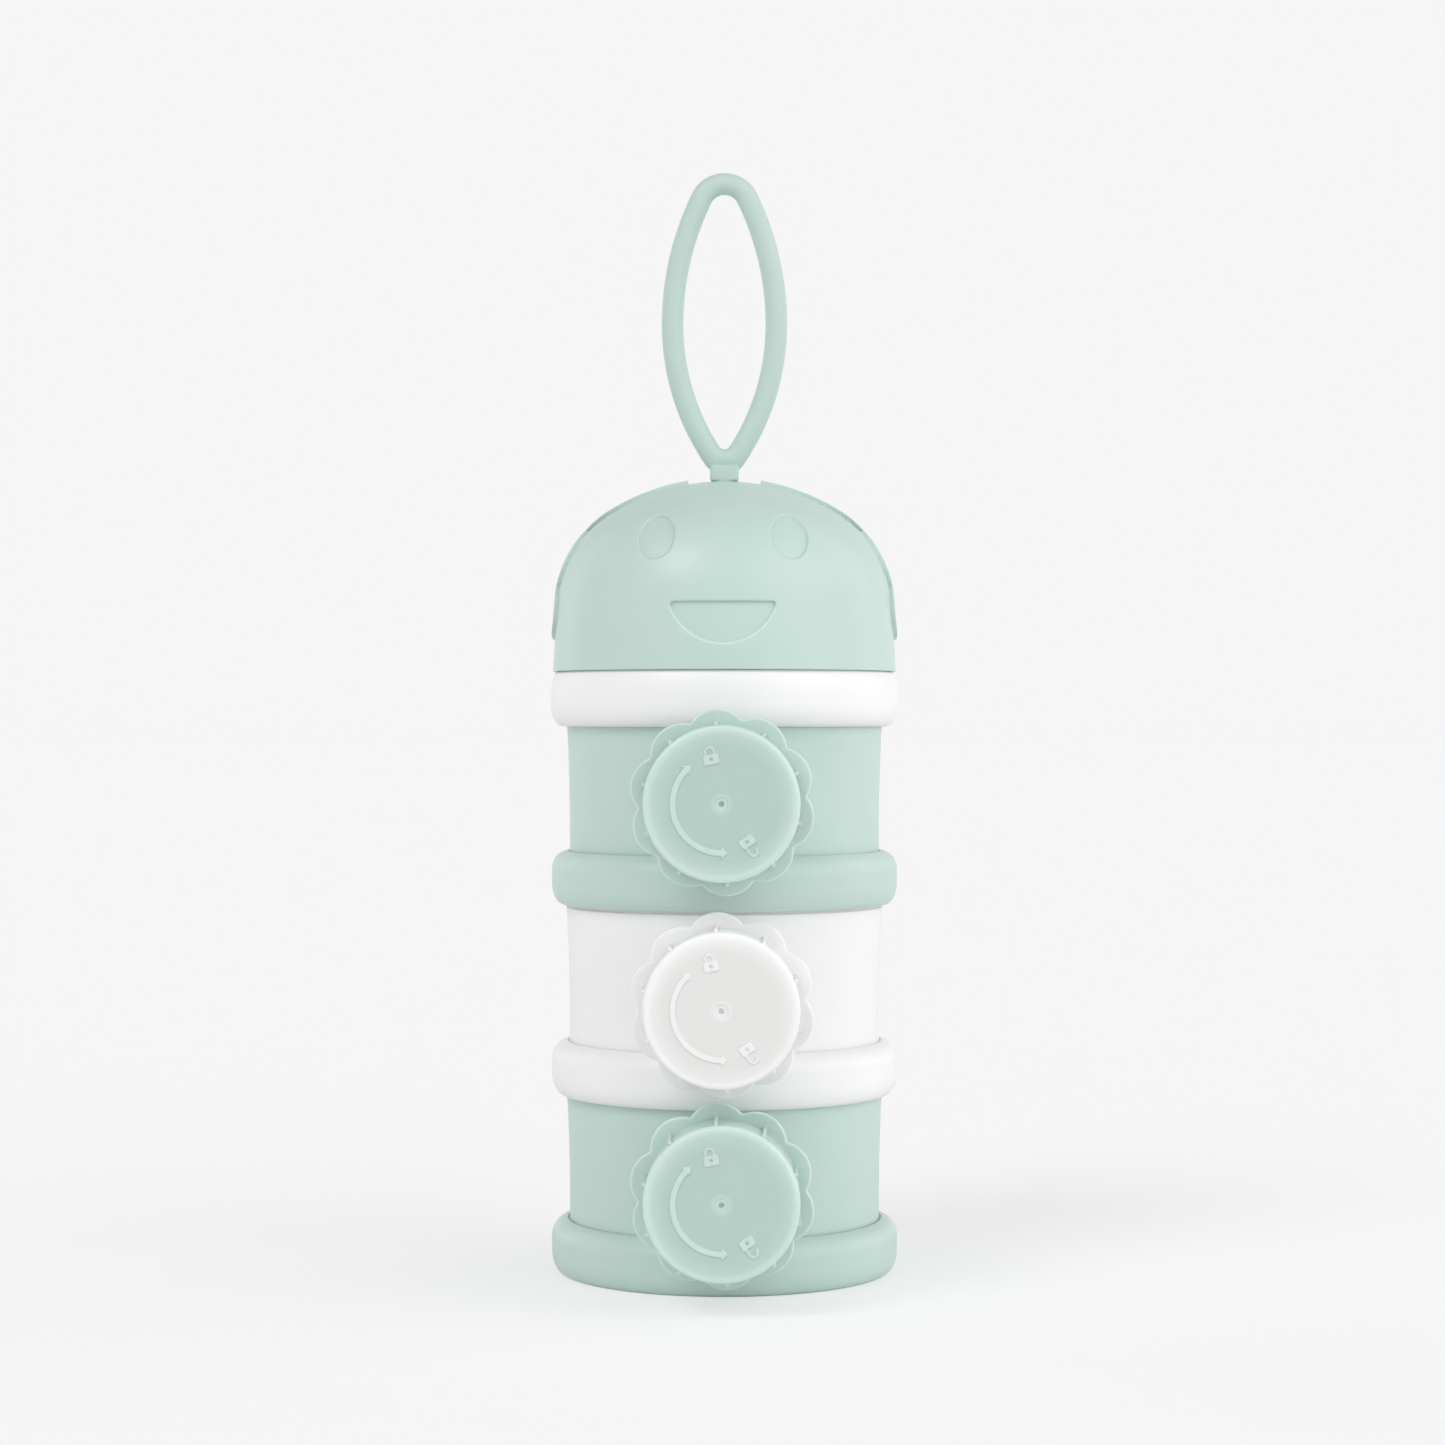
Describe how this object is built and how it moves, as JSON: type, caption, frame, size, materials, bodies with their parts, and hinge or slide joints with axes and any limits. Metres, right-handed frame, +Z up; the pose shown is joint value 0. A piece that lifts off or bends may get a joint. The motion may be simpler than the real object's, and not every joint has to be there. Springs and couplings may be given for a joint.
{
  "type": "formula dispenser",
  "caption": "Stack of screw-together powder containers, each with a front spout and a flower-shaped screw cap, under a lid collar and a domed cover with a face and a carry loop.",
  "frame": {"origin": "on the stack's axis, at the level of the lowest container's base rim", "axes": "+Z up along the stack's axis, spouts and face towards -Y, +X to the right as seen from the front"},
  "size_m": [0.0862, 0.1163, 0.2722],
  "materials": {
    "mint_plastic": "semi-gloss moulded polypropylene",
    "white_plastic": "semi-gloss moulded polypropylene",
    "mint_silicone": "satin silicone",
    "clear_silicone": "satin silicone"
  },
  "bodies": {
    "lower_container": {"lower_container": "mint_plastic", "lower_container_gasket": "clear_silicone"},
    "middle_gasket": {"middle_container_gasket": "clear_silicone"},
    "middle_container": {"middle_container": "white_plastic"},
    "upper_gasket": {"upper_container_gasket": "clear_silicone"},
    "upper_container": {"upper_container": "mint_plastic"},
    "lid_gasket": {"lid_gasket": "clear_silicone"},
    "lid": {"lid_collar": "white_plastic"},
    "lower_cap_seal": {"lower_cap_seal": "clear_silicone"},
    "lower_cap": {"lower_spout_cap": "mint_plastic"},
    "middle_cap_seal": {"middle_cap_seal": "clear_silicone"},
    "middle_cap": {"middle_spout_cap": "white_plastic"},
    "upper_cap_seal": {"upper_cap_seal": "clear_silicone"},
    "upper_cap": {"upper_spout_cap": "mint_plastic"},
    "dome": {"dome_cover": "mint_plastic"},
    "loop_plug": {"loop_plug": "mint_silicone"},
    "carry_loop": {"carry_loop": "mint_silicone"}
  },
  "joints": [
    {"name": "middle_container_lift", "type": "slide", "parent": "lower_container", "child": "middle_gasket", "axis": [0, 0, 1], "range_m": [0, 0.00902]},
    {"name": "middle_container_turn", "type": "hinge", "parent": "middle_gasket", "child": "middle_container", "pos_m": [0, 0, 0.0439], "axis": [0, 0, 1], "range_deg": [0, 360]},
    {"name": "upper_container_lift", "type": "slide", "parent": "middle_container", "child": "upper_gasket", "axis": [0, 0, 1], "range_m": [-0.00302, 0.00602]},
    {"name": "upper_container_turn", "type": "hinge", "parent": "upper_gasket", "child": "upper_container", "pos_m": [0, 0, 0.0908], "axis": [0, 0, 1], "range_deg": [-120, 240]},
    {"name": "lid_lift", "type": "slide", "parent": "upper_container", "child": "lid_gasket", "axis": [0, 0, 1], "range_m": [0, 0.00902]},
    {"name": "lid_turn", "type": "hinge", "parent": "lid_gasket", "child": "lid", "pos_m": [0, 0, 0.1347], "axis": [0, 0, 1], "range_deg": [0, 360]},
    {"name": "lower_cap_lift", "type": "slide", "parent": "lower_container", "child": "lower_cap_seal", "axis": [0, -1, 0], "range_m": [0, 0.01442]},
    {"name": "lower_cap_turn", "type": "hinge", "parent": "lower_cap_seal", "child": "lower_cap", "pos_m": [0, -0.0703, 0.0265], "axis": [0, -1, 0], "range_deg": [0, 576]},
    {"name": "middle_cap_lift", "type": "slide", "parent": "middle_container", "child": "middle_cap_seal", "axis": [0, -1, 0], "range_m": [0, 0.01442]},
    {"name": "middle_cap_turn", "type": "hinge", "parent": "middle_cap_seal", "child": "middle_cap", "pos_m": [0, -0.0703, 0.0704], "axis": [0, -1, 0], "range_deg": [0, 576]},
    {"name": "upper_cap_lift", "type": "slide", "parent": "upper_container", "child": "upper_cap_seal", "axis": [0, -1, 0], "range_m": [0, 0.01442]},
    {"name": "upper_cap_turn", "type": "hinge", "parent": "upper_cap_seal", "child": "upper_cap", "pos_m": [0, -0.0703, 0.1173], "axis": [0, -1, 0], "range_deg": [0, 576]},
    {"name": "dome_lift", "type": "slide", "parent": "lid", "child": "dome", "axis": [0, 0, 1], "range_m": [0, 0.014]},
    {"name": "loop_swivel", "type": "hinge", "parent": "dome", "child": "loop_plug", "pos_m": [0, 0, 0.1955], "axis": [0, 0, 1], "continuous": true},
    {"name": "loop_flex", "type": "hinge", "parent": "loop_plug", "child": "carry_loop", "pos_m": [0, 0, 0.201], "axis": [1, 0, 0], "range_deg": [-80, 80], "stiffness_Nm_per_rad": 0.02}
  ],
  "couplings": [
    {"joint": "middle_container_lift", "follows": "middle_container_turn", "m_per_rad": 0.0014324},
    {"joint": "upper_container_lift", "follows": "upper_container_turn", "m_per_rad": 0.0014324},
    {"joint": "lid_lift", "follows": "lid_turn", "m_per_rad": 0.0014324},
    {"joint": "lower_cap_lift", "follows": "lower_cap_turn", "m_per_rad": 0.0014324},
    {"joint": "middle_cap_lift", "follows": "middle_cap_turn", "m_per_rad": 0.0014324},
    {"joint": "upper_cap_lift", "follows": "upper_cap_turn", "m_per_rad": 0.0014324}
  ]
}
